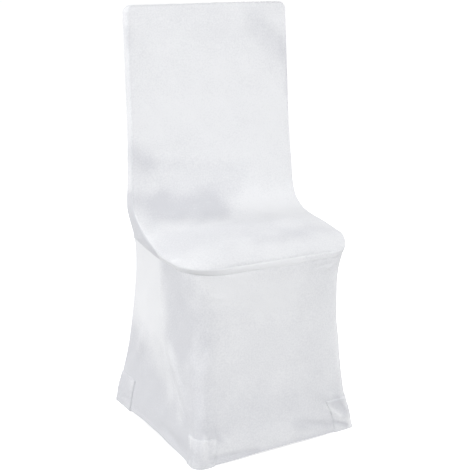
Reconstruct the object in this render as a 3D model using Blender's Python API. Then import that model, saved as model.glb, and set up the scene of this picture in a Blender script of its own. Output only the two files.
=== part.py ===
# Fitted stretch cover for a high-backed chair, sewn from panels, with a cup-shaped pocket for each foot.
# Metres. X runs across the chair, +Y to its back, +Z up. The cover faces -Y, and its hem is on z = 0.
from collections import namedtuple
import math

import bpy
from mathutils import Vector

# Driving dimensions
HEIGHT = 1.004          # top edge of the back above the floor
SEAM_LOW = 0.440        # seat seam along the front
SEAM_REAR = 0.456       # seat seam where it meets the rear panel
SEAM_RISE_ENDS = 0.62   # share of the side run, from the rear, over which the seat seam comes down
SEAM_RISE_SHAPE = 1.3   # how much of that fall lies near the rear panel
CREASE = 0.457          # front edge of the seat panel, one band's height above the seam
TOP_CORNER = 0.018      # corner radius at the top of the back
RIM_CORNER = 0.080      # plan radius of the seat panel's front corners
DEPTH_SHIFT = 0.0115    # moves the tables' origin, midway between the feet, to the middle of the whole depth

# Cloth
CLOTH = 0.0016          # thickness of one panel
SEAM_GAP = 0.0003       # what two neighbouring pieces keep between them
TUCK = CLOTH * 1.15 + SEAM_GAP   # how far the skirt ends behind the rear panel that covers its edge
HEM_LIFT = CLOTH + SEAM_GAP      # the hem's height over a foot's sole

# The front panel, from the top of the back to where the seat's front corners begin.
# rim is the panel's sewn edge, mid is the panel on the middle line, seam is the far edge of the side band.
# right_lift is how much higher the right rim rides than the left one.
Row = namedtuple("Row", "rim_y rim_z mid_y mid_z half_width seam_half seam_y seam_z right_lift")
BACK_TO_SEAT = [
    Row(0.1060, 1.004, 0.1045, 1.004, 0.2120, 0.2120, 0.1360, 1.004, 0),
    Row(0.0995, 0.900, 0.0970, 0.900, 0.2130, 0.2130, 0.1300, 0.900, 0),
    Row(0.0930, 0.800, 0.0905, 0.800, 0.2140, 0.2140, 0.1235, 0.800, 0),
    Row(0.0867, 0.700, 0.0842, 0.700, 0.2155, 0.2155, 0.1170, 0.700, 0),
    Row(0.0810, 0.620, 0.0785, 0.620, 0.2202, 0.2197, 0.1115, 0.620, 0),
    Row(0.0775, 0.570, 0.0740, 0.573, 0.2228, 0.2225, 0.1080, 0.570, 0),
    Row(0.0730, 0.545, 0.0680, 0.549, 0.2240, 0.2235, 0.1072, 0.540, 0),
    Row(0.0620, 0.526, 0.0560, 0.528, 0.2240, 0.2205, 0.1075, 0.517, 0),
    Row(0.0450, 0.510, 0.0350, 0.511, 0.2236, 0.2150, 0.1090, 0.496, 0.002),
    Row(0.0200, 0.494, 0.0050, 0.499, 0.2234, 0.2085, 0.1110, 0.472, 0.006),
    Row(-0.020, 0.476, -0.035, 0.4930, 0.2232, 0.2065, 0.0850, 0.4525, 0.0155),
    Row(-0.070, 0.460, -0.080, 0.4890, 0.2224, 0.2070, -0.020, 0.4425, 0.0265),
    Row(-0.142, 0.457, -0.142, 0.4850, 0.2202, 0.2075, -0.136, 0.4400, 0.0195),
]
ROWS_BETWEEN = 2        # rows of faces between two rows of that table
# The seat's crown on the middle line, ahead of those rows
Crown = namedtuple("Crown", "y z")
SEAT_CROWN = [Crown(-0.142, 0.4850), Crown(-0.170, 0.4815), Crown(-0.195, 0.4760),
              Crown(-0.213, 0.4670), Crown(-0.222, 0.4570)]
CROWN_SHAPE = 4         # how late the crown falls off towards the rim
LIFT_FADE = 8           # how soon the right rim's lift dies out round its front corner
STRAIGHT_ROWS = 6       # rows of the table above the bend from the back to the seat

# The skirt and the rear panel below the seat: plan sections at heights z.
# front_half is where the side and front runs would meet, left and right the front run's distance ahead
# at its two ends, left_corner and right_corner the radii between the runs.
Section = namedtuple("Section", "z front_half left right left_corner right_corner"
                                " rear_half rear side_bow front_bow rear_bow")
SKIRT = [
    Section(0.456, 0.2076, 0.2200, 0.2230, 0.086, 0.076, 0.2055, 0.1115, 0.002, 0.001, 0.000),
    Section(0.440, 0.2075, 0.2195, 0.2225, 0.085, 0.075, 0.2035, 0.1135, 0.002, 0.001, 0.000),
    Section(0.400, 0.2012, 0.2160, 0.2170, 0.078, 0.072, 0.1985, 0.1225, 0.005, 0.001, -0.002),
    Section(0.340, 0.1945, 0.2110, 0.2110, 0.068, 0.060, 0.1955, 0.1365, 0.006, 0.000, -0.003),
    Section(0.270, 0.1945, 0.2095, 0.2085, 0.056, 0.050, 0.1950, 0.1545, 0.004, -0.001, -0.004),
    Section(0.210, 0.1985, 0.2110, 0.2090, 0.046, 0.042, 0.1965, 0.1685, 0.001, -0.002, -0.005),
    Section(0.150, 0.2005, 0.2150, 0.2100, 0.036, 0.033, 0.2004, 0.1825, -0.001, -0.002, -0.006),
    Section(0.090, 0.2065, 0.2270, 0.2120, 0.028, 0.030, 0.2092, 0.1960, -0.003, -0.001, -0.007),
    Section(0.040, 0.2154, 0.2365, 0.2150, 0.024, 0.016, 0.2175, 0.2085, -0.004, 0.002, -0.008),
    Section(0.000, 0.2212, 0.2395, 0.2185, 0.022, 0.014, 0.2205, 0.2165, -0.004, 0.004, -0.009),
]
HEM_RISE_SIDE = 0.0035   # how far the hem arches up between two feet
HEM_RISE_FRONT = 0.003
HEM_RISE_REAR = 0.006
HEM_SHAPE = 2           # how much that arch keeps to the middle
RIDGE_PLACE = 0.47      # where along the side, from the rear, the cloth stands out most under the seat

# Rows of the skirt, as shares of the way from the seat seam down to the hem
DROPS = [0, 0.05, 0.11, 0.18, 0.26, 0.34, 0.42, 0.50, 0.58, 0.66, 0.74, 0.815, 0.855, 0.90, 0.94, 0.97, 1]
# Columns of the skirt's runs, as shares of each run
SIDE_COLUMNS = [0, 0.07, 0.135, 0.20, 0.29, 0.38, 0.47, 0.58, 0.69, 0.79, 0.88, 0.94, 1]
FRONT_COLUMNS = [0, 0.032, 0.064, 0.12, 0.20, 0.28, 0.36, 0.44, 0.50, 0.56, 0.64, 0.72, 0.80, 0.89, 0.945, 1]
REAR_COLUMNS = [0, 0.07, 0.14, 0.23, 0.32, 0.41, 0.50, 0.59, 0.68, 0.77, 0.86, 0.93, 1]
# The foot pockets: the drop of the top edge, and the columns of the two runs where the wall ends
Pocket = namedtuple("Pocket", "name top side other")
POCKETS = [Pocket("pocket_front_left", 0.855, 0.94, 0.064), Pocket("pocket_front_right", 0.815, 0.94, 0.89),
           Pocket("pocket_rear_left", 0.815, 0.20, 0.86), Pocket("pocket_rear_right", 0.815, 0.20, 0.14)]
PANEL_COLUMNS = [-1, -0.975, -0.93, -0.86, -0.72, -0.54, -0.36, -0.18, 0,
                 0.18, 0.36, 0.54, 0.72, 0.86, 0.93, 0.975, 1]
CORNER_STEPS = 5        # faces round a soft front corner of the skirt
RIM_STEPS = 6           # faces round a front corner of the seat panel
TOP_STEPS = 4           # faces round a top corner of the back
BAND_STEPS = 3          # faces across the side band
Station = namedtuple("Station", "rim into seam")   # one place along that band, from edge to edge
REAR_LINE = 0.104       # behind this y the band's far edge lies under the rear panel
CORNER_REACH = 0.001    # the far edge leaves the rear corner line this close to the seat seam's rear end
REAR_JOIN = 0.02        # the rear panel's rows from the band end this far above the seat seam
INTO_REAR = Vector((0, -1, 0))

# Main folds: a soft ridge (height above 0) or trough (below 0) between two points
Fold = namedtuple("Fold", "start end width height")
SKIRT_FOLDS = [
    Fold((-0.204, -0.030, 0.300), (-0.215, -0.190, 0.095), 0.016, 0.0040),
    Fold((-0.200, 0.060, 0.290), (-0.212, 0.165, 0.100), 0.020, 0.0035),
    Fold((-0.150, -0.207, 0.330), (-0.190, -0.211, 0.090), 0.018, 0.0025),
    Fold((0.110, -0.208, 0.130), (0.200, -0.212, 0.045), 0.018, 0.0035),
    Fold((0.160, -0.208, 0.150), (0.190, -0.210, 0.075), 0.015, -0.0035),
    Fold((0.204, -0.030, 0.300), (0.215, -0.190, 0.095), 0.020, 0.0030),
    Fold((0.200, 0.060, 0.290), (0.212, 0.165, 0.100), 0.022, 0.0030),
]
PANEL_FOLDS = [
    Fold((-0.160, 0.040, 0.515), (-0.020, 0.030, 0.512), 0.040, -0.0040),
    Fold((0.050, -0.110, 0.488), (0.185, -0.100, 0.488), 0.040, -0.0035),
    Fold((-0.120, -0.120, 0.488), (0.150, 0.030, 0.512), 0.040, 0.0025),
]

WHITE_STRETCH_CLOTH = (0.86, 0.865, 0.885, 1.0)
CLOTH_ROUGHNESS = 0.8
SHARP_ANGLE = math.radians(40)


def clear_scene():
    for thing in list(bpy.data.objects):
        bpy.data.objects.remove(thing)


def cloth_material(name):
    material = bpy.data.materials.new(name)
    material.use_nodes = True
    shader = material.node_tree.nodes["Principled BSDF"]
    shader.inputs["Base Color"].default_value = WHITE_STRETCH_CLOTH
    shader.inputs["Roughness"].default_value = CLOTH_ROUGHNESS
    shader.inputs["Metallic"].default_value = 0.0
    return material


def read_table(rows, place, axis):
    """One row of a table at a place between its rows, with every column on a smooth curve."""
    places = [getattr(row, axis) for row in rows]
    if places[0] > places[-1]:
        rows, places = rows[::-1], places[::-1]
    place = min(max(place, places[0]), places[-1])
    right = next(i for i in range(1, len(rows)) if place <= places[i])
    left = right - 1
    step = places[right] - places[left]
    share = (place - places[left]) / step
    return type(rows[0])(*(curve_value(rows, places, left, share, step, column)
                           for column in range(len(rows[0]))))


def curve_value(rows, places, left, share, step, column):
    """Cubic between two rows, with each row's slope taken from its neighbours."""
    def slope(i):
        before, after = max(i - 1, 0), min(i + 1, len(rows) - 1)
        return (rows[after][column] - rows[before][column]) / (places[after] - places[before])
    start, end = rows[left][column], rows[left + 1][column]
    square, cube = share ** 2, share ** 3
    return ((2 * cube - 3 * square + 1) * start + (cube - 2 * square + share) * step * slope(left)
            + (3 * square - 2 * cube) * end + (cube - square) * step * slope(left + 1))


def fold_height(point, folds):
    """How far the folds lift the cloth at a point."""
    lift = 0.0
    for fold in folds:
        start, end = Vector(fold.start), Vector(fold.end)
        run = end - start
        share = min(max((point - start).dot(run) / run.length_squared, 0), 1)
        away = (point - start - run * share).length
        lift += fold.height * math.exp(-(away / fold.width) ** 2)
    return lift


def grid_normals(grid, ring=False):
    """A unit normal into the cover at each point of a grid, from the points beside it."""
    rows, columns = len(grid), len(grid[0])
    normals = []
    for i in range(rows):
        line = []
        for j in range(columns):
            left, right = (j - 1) % columns, (j + 1) % columns
            if not ring:
                left, right = max(j - 1, 0), min(j + 1, columns - 1)
            across = grid[i][right] - grid[i][left]
            down = grid[min(i + 1, rows - 1)][j] - grid[max(i - 1, 0)][j]
            line.append(across.cross(down).normalized())
        normals.append(line)
    return normals


def lift_grid(grid, folds):
    """The grid with its folds raised outwards."""
    normals = grid_normals(grid)
    return [[point - normal * fold_height(point, folds) for point, normal in zip(line, across)]
            for line, across in zip(grid, normals)]


def inner_grid(grid, depth, ring=False):
    """The inner face of a cloth whose outer face is the grid."""
    normals = grid_normals(grid, ring)
    return [[point + normal * depth for point, normal in zip(line, across)]
            for line, across in zip(grid, normals)]


def add_object(name, points, faces, material):
    mesh = bpy.data.meshes.new(name)
    mesh.from_pydata([(point.x, point.y + DEPTH_SHIFT, point.z) for point in points], [], faces)
    mesh.materials.append(material)
    mesh.shade_smooth()
    mesh.set_sharp_from_angle(angle=SHARP_ANGLE)
    piece = bpy.data.objects.new(name, mesh)
    bpy.context.scene.collection.objects.link(piece)
    return piece


def add_cloth(name, outer, inner, material, ring=False):
    """One closed sheet between an outer and an inner grid. A ring closes on itself across its columns."""
    rows, columns = len(outer), len(outer[0])
    points = [point for grid in (outer, inner) for line in grid for point in line]

    def index(layer, i, j):
        return layer * rows * columns + i * columns + j % columns

    faces = []
    spans = columns if ring else columns - 1
    for i in range(rows - 1):
        for j in range(spans):
            faces.append((index(0, i, j), index(0, i + 1, j), index(0, i + 1, j + 1), index(0, i, j + 1)))
            faces.append((index(1, i, j), index(1, i, j + 1), index(1, i + 1, j + 1), index(1, i + 1, j)))
    for j in range(spans):
        faces.append((index(0, 0, j), index(0, 0, j + 1), index(1, 0, j + 1), index(1, 0, j)))
        last = rows - 1
        faces.append((index(0, last, j + 1), index(0, last, j), index(1, last, j), index(1, last, j + 1)))
    if not ring:
        end = columns - 1
        for i in range(rows - 1):
            faces.append((index(0, i + 1, 0), index(0, i, 0), index(1, i, 0), index(1, i + 1, 0)))
            faces.append((index(0, i, end), index(0, i + 1, end), index(1, i + 1, end), index(1, i, end)))
    return add_object(name, points, faces, material)


# Plan of the skirt and of the rear panel below the seat

def seam_height(share):
    """Height of the seat seam at a share of the side run, from the rear to the front corner."""
    rise = (1 - min(share / SEAM_RISE_ENDS, 1)) ** SEAM_RISE_SHAPE
    return SEAM_LOW + (SEAM_REAR - SEAM_LOW) * rise


def front_corner(section, side):
    """How far ahead a front corner lies, and its radius."""
    return (section.left, section.left_corner) if side < 0 else (section.right, section.right_corner)


def side_point(share, z, side):
    """A point of the skirt's side run; share goes from the rear corner to the front corner's start."""
    section = read_table(SKIRT, z, "z")
    ahead, corner = front_corner(section, side)
    start_y, end_y = section.rear, -(ahead - corner)
    x = section.rear_half + (section.front_half - section.rear_half) * share
    if section.side_bow > 0:
        bow = share / RIDGE_PLACE if share < RIDGE_PLACE else (1 - share) / (1 - RIDGE_PLACE)
        x += section.side_bow * bow * bow * (3 - 2 * bow)
    else:
        x += section.side_bow * math.sin(math.pi * share)
    return Vector((side * x, start_y + (end_y - start_y) * share, z))


def corner_point(angle, z, side):
    """A point of the soft front corner; the angle goes from 0 at the side to a right angle at the front."""
    section = read_table(SKIRT, z, "z")
    ahead, corner = front_corner(section, side)
    centre_x, centre_y = section.front_half - corner, ahead - corner
    return Vector((side * (centre_x + corner * math.cos(angle)), -(centre_y + corner * math.sin(angle)), z))


def front_point(share, z):
    """A point of the skirt's front run; share goes from the left corner to the right one."""
    section = read_table(SKIRT, z, "z")
    start, end = section.left_corner - section.front_half, section.front_half - section.right_corner
    ahead = section.left + (section.right - section.left) * share
    ahead += section.front_bow * math.sin(math.pi * share)
    return Vector((start + (end - start) * share, -ahead, z))


def rear_point(share, z):
    """A point of the rear panel below the seat; share goes from the right corner to the left one."""
    section = read_table(SKIRT, z, "z")
    bow = math.sin(math.pi * share)
    return Vector((section.rear_half * (1 - 2 * share), section.rear + section.rear_bow * bow, z))


def hem_height(share, rise):
    return HEM_LIFT + rise * math.sin(math.pi * share) ** HEM_SHAPE


def skirt_columns():
    """The skirt's columns from the rear left corner round the front to the rear right corner."""
    columns = []
    for share in SIDE_COLUMNS:
        columns.append((seam_height(share), hem_height(share, HEM_RISE_SIDE),
                        lambda z, share=share: side_point(share, z, -1)))
    quarter = math.pi / 2
    for step in range(1, CORNER_STEPS):
        angle = quarter * step / CORNER_STEPS
        columns.append((SEAM_LOW, HEM_LIFT, lambda z, angle=angle: corner_point(angle, z, -1)))
    for share in FRONT_COLUMNS:
        columns.append((SEAM_LOW, hem_height(share, HEM_RISE_FRONT),
                        lambda z, share=share: front_point(share, z)))
    for step in range(CORNER_STEPS - 1, 0, -1):
        angle = quarter * step / CORNER_STEPS
        columns.append((SEAM_LOW, HEM_LIFT, lambda z, angle=angle: corner_point(angle, z, 1)))
    for share in SIDE_COLUMNS[::-1]:
        columns.append((seam_height(share), hem_height(share, HEM_RISE_SIDE),
                        lambda z, share=share: side_point(share, z, 1)))
    return columns


def skirt_grid():
    """The skirt's outer surface, up to the corner lines it shares with the rear panel."""
    columns = skirt_columns()
    grid = [[place(top + (bottom - top) * drop) for top, bottom, place in columns] for drop in DROPS]
    lifted = lift_grid(grid, SKIRT_FOLDS)
    # The corner lines stay on the seam with the rear panel
    for line, plain in zip(lifted, grid):
        line[0], line[-1] = plain[0], plain[-1]
    return lifted


def rear_grid_below():
    columns = [(share, hem_height(share, HEM_RISE_REAR)) for share in REAR_COLUMNS]
    return [[rear_point(share, SEAM_REAR + (bottom - SEAM_REAR) * drop) for share, bottom in columns]
            for drop in DROPS]


# The seat and the back

def back_rows():
    """Rows of the front panel from the top edge to the start of the seat's front corners."""
    rows = []
    for step in range(TOP_STEPS + 1):
        angle = math.pi / 2 * step / TOP_STEPS
        fall = TOP_CORNER * (1 - math.cos(angle))
        row = read_table(BACK_TO_SEAT[:STRAIGHT_ROWS], HEIGHT - fall, "seam_z")
        inset = TOP_CORNER * (1 - math.sin(angle))
        rows.append(row._replace(half_width=row.half_width - inset, seam_half=row.seam_half - inset,
                                 rim_z=HEIGHT - fall, mid_z=HEIGHT - fall))
    for number in range(1, len(BACK_TO_SEAT)):
        for step in range(1, ROWS_BETWEEN + 1):
            rows.append(row_between(number - 1, step / ROWS_BETWEEN))
    return rows


def row_between(number, share):
    """A row at a share of the way from one row of the table to the next, on a smooth curve."""
    last = len(BACK_TO_SEAT) - 1
    before, start = BACK_TO_SEAT[max(number - 1, 0)], BACK_TO_SEAT[number]
    end, after = BACK_TO_SEAT[number + 1], BACK_TO_SEAT[min(number + 2, last)]
    square, cube = share ** 2, share ** 3
    return Row(*(0.5 * (2 * b + (c - a) * share + (2 * a - 5 * b + 4 * c - d) * square
                        + (3 * b - a - 3 * c + d) * cube)
                 for a, b, c, d in zip(before, start, end, after)))


def panel_point(row, across):
    crown = 1 - abs(across) ** CROWN_SHAPE
    lift = row.right_lift * (1 + across) / 2
    return Vector((row.half_width * across,
                   row.rim_y + (row.mid_y - row.rim_y) * crown,
                   row.rim_z + (row.mid_z - row.rim_z) * crown + lift))


def front_corner_rows():
    """Rows across the seat's rounded front corners, each with its angle round them."""
    start = BACK_TO_SEAT[-1]
    rows = []
    for step in range(1, RIM_STEPS + 1):
        angle = math.pi / 2 * step / RIM_STEPS
        y = start.rim_y - RIM_CORNER * math.sin(angle)
        half = start.half_width - RIM_CORNER * (1 - math.cos(angle))
        lift = start.right_lift * math.cos(angle) ** LIFT_FADE
        rows.append((angle, Row(y, CREASE, y, read_table(SEAT_CROWN, y, "y").z, half, 0, 0, 0, lift)))
    return rows


def front_panel_grid():
    """The front panel's outer surface. Its rows run down the back and forward over the seat."""
    rows = back_rows() + [row for _, row in front_corner_rows()]
    grid = [[panel_point(row, across) for across in PANEL_COLUMNS] for row in rows]
    lifted = lift_grid(grid, PANEL_FOLDS)
    for line, plain in zip(lifted, grid):
        line[0], line[-1] = plain[0], plain[-1]
    lifted[0], lifted[-1] = grid[0], grid[-1]
    return lifted


def side_seam_point(row, side):
    """Where the side band ends: on the rear corner line, and ahead of it on the seat seam."""
    section = read_table(SKIRT, SEAM_REAR, "z")
    if row.seam_y > section.rear - CORNER_REACH or row.seam_z > SEAM_REAR + CORNER_REACH:
        return Vector((side * row.seam_half, row.seam_y, row.seam_z))
    low = read_table(SKIRT, SEAM_LOW, "z")
    ahead, corner = front_corner(low, side)
    share = min(max((low.rear - row.seam_y) / (low.rear + ahead - corner), 0), 1)
    return side_point(share, seam_height(share), side)


def band_loop():
    """Stations round the front panel: its rim, the normal into it there, and the band's other edge."""
    grid = front_panel_grid()
    normals = grid_normals(grid)
    rows, corners = back_rows(), front_corner_rows()
    top = [Station(grid[0][j], normals[0][j], Vector((grid[0][j].x, rows[0].seam_y, HEIGHT)))
           for j in range(1, len(PANEL_COLUMNS) - 1)]
    sides = {}
    for side, j in ((-1, 0), (1, -1)):
        far_edge = [side_seam_point(row, side) for row in rows]
        far_edge += [corner_point(angle, SEAM_LOW, side) for angle, _ in corners[:-1]]
        sides[side] = [Station(grid[i][j], normals[i][j], seam) for i, seam in enumerate(far_edge)]
    front = [Station(grid[-1][j], normals[-1][j], front_point((across + 1) / 2, SEAM_LOW))
             for j, across in enumerate(PANEL_COLUMNS)]
    return sides[-1] + front + sides[1][::-1] + top[::-1]


def clear_of_cover(point, edge, into, way):
    """The point moved along the way until a covering panel's cloth and the seam gap fit before it."""
    short = CLOTH + SEAM_GAP - (point - edge).dot(into)
    return point + way * (short / way.dot(into)) if short > 0 else point


# The pieces

def make_front_panel(material):
    outer = front_panel_grid()
    return add_cloth("front_panel", outer, inner_grid(outer, CLOTH), material)


def make_side_band(material):
    """The strip round the front panel, from behind that panel's edge to just short of the next piece."""
    loop = band_loop()
    outer = [[station.rim.lerp(station.seam, step / BAND_STEPS) for station in loop]
             for step in range(BAND_STEPS + 1)]
    inner = inner_grid(outer, CLOTH, ring=True)
    for j, (rim, into, seam) in enumerate(loop):
        way = (seam - rim).normalized()
        for grid in (outer, inner):
            grid[0][j] = clear_of_cover(grid[0][j], rim, into, way)
            if seam.y > REAR_LINE:
                grid[-1][j] = clear_of_cover(grid[-1][j], seam, INTO_REAR, -way)
            else:
                grid[-1][j] = grid[-1][j] - way * SEAM_GAP
    return add_cloth("side_band", outer, inner, material, ring=True)


def make_rear_panel(material):
    rows = [row for row in back_rows() if row.seam_z > SEAM_REAR + REAR_JOIN]
    upper = [[Vector((-row.seam_half * (2 * share - 1), row.seam_y, row.seam_z)) for share in REAR_COLUMNS]
             for row in rows]
    outer = upper + rear_grid_below()
    return add_cloth("rear_panel", outer, inner_grid(outer, CLOTH), material)


def make_skirt(material):
    """The skirt starts just under the seat seam, and its rear edges end behind the rear panel's."""
    grid = skirt_grid()
    for j, point in enumerate(grid[0]):
        grid[0][j] = point + (grid[1][j] - point).normalized() * SEAM_GAP
    for line in grid:
        line[0] = line[0] + (line[1] - line[0]).normalized() * TUCK
        line[-1] = line[-1] + (line[-2] - line[-1]).normalized() * TUCK
    return add_cloth("skirt", grid, inner_grid(grid, CLOTH), material)


def mitred(line, distance):
    """A row of points moved outwards so that each run between them moves by the distance."""
    outwards = []
    for start, end in zip(line, line[1:]):
        run = end - start
        outwards.append(Vector((run.y, -run.x, 0)).normalized())
    before = outwards[:1] + outwards
    after = outwards + outwards[-1:]
    return [point + (a + b) * (distance / (1 + a.dot(b))) for point, a, b in zip(line, before, after)]


def make_foot_pocket(name, base, heel, material):
    """A cup sewn round one foot: a wall over the skirt's corner and a sole under the foot.

    base holds the rows of the cloth under the wall, and heel is the sole's corner inside the cover.
    """
    outer = [mitred(line, SEAM_GAP + CLOTH) for line in base]
    inner = [mitred(line, SEAM_GAP) for line in base]
    outer.append([Vector((point.x, point.y, 0)) for point in outer[-1]])
    inner.append([Vector((point.x, point.y, CLOTH)) for point in inner[-1]])
    rows, columns = len(outer), len(outer[0])
    points = [point for grid in (outer, inner) for line in grid for point in line]
    heels = len(points)
    points += [Vector((heel.x, heel.y, 0)), Vector((heel.x, heel.y, CLOTH))]

    def index(layer, i, j):
        return layer * rows * columns + i * columns + j

    faces = []
    for i in range(rows - 1):
        for j in range(columns - 1):
            faces.append((index(0, i, j), index(0, i + 1, j), index(0, i + 1, j + 1), index(0, i, j + 1)))
            faces.append((index(1, i, j), index(1, i, j + 1), index(1, i + 1, j + 1), index(1, i + 1, j)))
    last_row, last = rows - 1, columns - 1
    for j in range(columns - 1):
        faces.append((index(0, last_row, j), heels, index(0, last_row, j + 1)))
        faces.append((index(1, last_row, j), index(1, last_row, j + 1), heels + 1))
        faces.append((index(0, 0, j), index(0, 0, j + 1), index(1, 0, j + 1), index(1, 0, j)))
    for i in range(rows - 1):
        faces.append((index(0, i + 1, 0), index(0, i, 0), index(1, i, 0), index(1, i + 1, 0)))
        faces.append((index(0, i, last), index(0, i + 1, last), index(1, i + 1, last), index(1, i, last)))
    faces.append((heels, index(0, last_row, 0), index(1, last_row, 0), heels + 1))
    faces.append((index(0, last_row, last), heels, heels + 1, index(1, last_row, last)))
    return add_object(name, points, faces, material)


def pocket_bases():
    """The rows of cloth under each foot pocket's wall, from one end of the wall to the other."""
    skirt, rear = skirt_grid(), rear_grid_below()
    front_start = len(SIDE_COLUMNS) + CORNER_STEPS - 1
    last = len(skirt[0]) - 1
    for pocket in POCKETS:
        first_row = DROPS.index(pocket.top)
        side, left = SIDE_COLUMNS.index(pocket.side), "left" in pocket.name
        if "front" in pocket.name:
            front = front_start + FRONT_COLUMNS.index(pocket.other)
            start, end = (side, front) if left else (front, last - side)
            yield pocket.name, [line[start:end + 1] for line in skirt[first_row:]]
        else:
            across = REAR_COLUMNS.index(pocket.other)
            pairs = zip(skirt[first_row:], rear[first_row:])
            if left:
                yield pocket.name, [behind[across:-1] + line[:side + 1] for line, behind in pairs]
            else:
                yield pocket.name, [line[last - side:] + behind[1:across + 1] for line, behind in pairs]


def make_foot_pockets(material):
    for name, base in pocket_bases():
        first, last = base[-1][0], base[-1][-1]
        inner_x = min(first.x, last.x, key=abs)
        inner_y = min(first.y, last.y, key=abs)
        make_foot_pocket(name, base, Vector((inner_x, inner_y, 0)), material)


def main():
    clear_scene()
    cloth = cloth_material("white_stretch_cloth")
    make_front_panel(cloth)
    make_side_band(cloth)
    make_rear_panel(cloth)
    make_skirt(cloth)
    make_foot_pockets(cloth)


main()
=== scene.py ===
# Looks of a fitted stretch cover for a high-backed chair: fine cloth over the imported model, with its
# seams, stitches, creases and weave, and a pale studio with soft lights and a camera.
# Metres, apart from the tables in millimetres. X runs across the chair, +Y to its back, +Z up. The cover
# faces -Y, and its hem is on z = 0.
from collections import namedtuple
import math

import bpy
import numpy as np
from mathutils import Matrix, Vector


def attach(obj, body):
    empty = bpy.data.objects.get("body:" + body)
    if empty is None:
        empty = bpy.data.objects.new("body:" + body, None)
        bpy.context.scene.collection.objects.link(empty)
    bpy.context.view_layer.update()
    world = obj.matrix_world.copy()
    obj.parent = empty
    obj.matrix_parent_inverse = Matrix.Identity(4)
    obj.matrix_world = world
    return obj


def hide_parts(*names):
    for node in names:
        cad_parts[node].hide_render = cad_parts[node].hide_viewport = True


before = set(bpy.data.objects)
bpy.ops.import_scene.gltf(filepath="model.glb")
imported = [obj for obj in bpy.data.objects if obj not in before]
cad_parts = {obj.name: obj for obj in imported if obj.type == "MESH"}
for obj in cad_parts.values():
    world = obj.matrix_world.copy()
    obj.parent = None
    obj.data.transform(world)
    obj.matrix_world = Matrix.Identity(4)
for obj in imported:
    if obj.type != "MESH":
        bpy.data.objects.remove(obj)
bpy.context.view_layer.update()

# Driving dimensions, the same as the model's
HEIGHT = 1.004  # top edge of the back above the floor
SEAM_LOW = 0.440  # seat seam along the front
SEAM_REAR = 0.456  # seat seam where it meets the rear panel
SEAM_RISE_ENDS = 0.62  # share of the side run, from the rear, over which the seat seam comes down
SEAM_RISE_SHAPE = 1.3  # how much of that fall lies near the rear panel
CREASE = 0.457  # front edge of the seat panel, one band's height above the seam
TOP_CORNER = 0.018  # corner radius at the top of the back
RIM_CORNER = 0.080  # plan radius of the seat panel's front corners
DEPTH_SHIFT = 0.0115  # moves the tables' origin, midway between the feet, to the middle of the whole depth
CLOTH = 0.0016  # thickness of one panel
SEAM_GAP = 0.0003  # what two neighbouring pieces keep between them
HEM_LIFT = CLOTH + SEAM_GAP  # the hem's height over a foot's sole


def metres(kind, rows):
    """A table's rows, which are written in millimetres, in metres."""
    return [kind(*(np.array(value) / 1000 for value in row)) for row in rows]


# The front panel in millimetres, from the top of the back to where the seat's front corners begin
Row = namedtuple("Row", "rim_y rim_z mid_y mid_z half_width seam_half seam_y seam_z right_lift")
BACK_TO_SEAT = metres(Row, [
    (106, 1004, 104.5, 1004, 212, 212, 136, 1004, 0),
    (99.5, 900, 97, 900, 213, 213, 130, 900, 0),
    (93, 800, 90.5, 800, 214, 214, 123.5, 800, 0),
    (86.7, 700, 84.2, 700, 215.5, 215.5, 117, 700, 0),
    (81, 620, 78.5, 620, 220.2, 219.7, 111.5, 620, 0),
    (77.5, 570, 74, 573, 222.8, 222.5, 108, 570, 0),
    (73, 545, 68, 549, 224, 223.5, 107.2, 540, 0),
    (62, 526, 56, 528, 224, 220.5, 107.5, 517, 0),
    (45, 510, 35, 511, 223.6, 215, 109, 496, 2),
    (20, 494, 5, 499, 223.4, 208.5, 111, 472, 6),
    (-20, 476, -35, 493, 223.2, 206.5, 85, 452.5, 15.5),
    (-70, 460, -80, 489, 222.4, 207, -20, 442.5, 26.5),
    (-142, 457, -142, 485, 220.2, 207.5, -136, 440, 19.5),
])
Crown = namedtuple("Crown", "y z")
SEAT_CROWN = metres(Crown, [(-142, 485), (-170, 481.5), (-195, 476), (-213, 467), (-222, 457)])
CROWN_SHAPE = 4  # how late the crown falls off towards the rim
LIFT_FADE = 8  # how soon the right rim's lift dies out round its front corner
STRAIGHT_ROWS = 6  # rows of the table above the bend from the back to the seat

# The skirt and the rear panel below the seat: plan sections at heights z, in millimetres
Section = namedtuple("Section", "z front_half left right left_corner right_corner"
                                " rear_half rear side_bow front_bow rear_bow")
SKIRT = metres(Section, [
    (456, 207.6, 220, 223, 86, 76, 205.5, 111.5, 2, 1, 0),
    (440, 207.5, 219.5, 222.5, 85, 75, 203.5, 113.5, 2, 1, 0),
    (400, 201.2, 216, 217, 78, 72, 198.5, 122.5, 5, 1, -2),
    (340, 194.5, 211, 211, 68, 60, 195.5, 136.5, 6, 0, -3),
    (270, 194.5, 209.5, 208.5, 56, 50, 195, 154.5, 4, -1, -4),
    (210, 198.5, 211, 209, 46, 42, 196.5, 168.5, 1, -2, -5),
    (150, 200.5, 215, 210, 36, 33, 200.4, 182.5, -1, -2, -6),
    (90, 206.5, 227, 212, 28, 30, 209.2, 196, -3, -1, -7),
    (40, 215.4, 236.5, 215, 24, 16, 217.5, 208.5, -4, 2, -8),
    (0, 221.2, 239.5, 218.5, 22, 14, 220.5, 216.5, -4, 4, -9),
])
HEM_RISE_SIDE = 0.0035  # how far the hem arches up between two feet
HEM_RISE_FRONT = 0.003
HEM_RISE_REAR = 0.006
HEM_SHAPE = 2  # how much that arch keeps to the middle
RIDGE_PLACE = 0.47  # where along the side, from the rear, the cloth stands out most under the seat
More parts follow.
